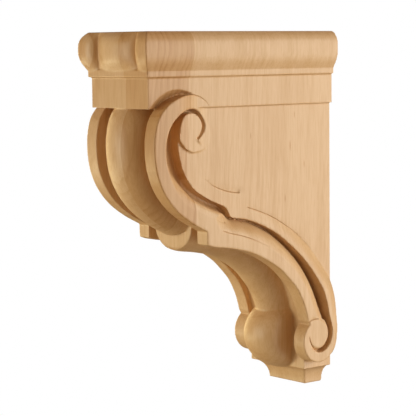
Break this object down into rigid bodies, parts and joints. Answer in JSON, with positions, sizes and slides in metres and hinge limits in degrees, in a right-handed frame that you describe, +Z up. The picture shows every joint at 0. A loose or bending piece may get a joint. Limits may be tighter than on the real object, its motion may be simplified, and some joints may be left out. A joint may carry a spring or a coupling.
{
  "type": "carved scroll bracket",
  "caption": "Carved maple bar bracket with a moulded cap, an S scroll on each cheek, a bead down the front and a coved foot.",
  "frame": {"origin": "centre of the flat back face, where the bracket is fixed to the wall", "axes": "+Z up, +Y into the wall, +X along the wall; the front looks along -Y"},
  "size_m": [0.0908, 0.2069, 0.305],
  "materials": {
    "maple": "satin"
  },
  "bodies": {
    "root": {"bracket": "maple"}
  },
  "joints": []
}
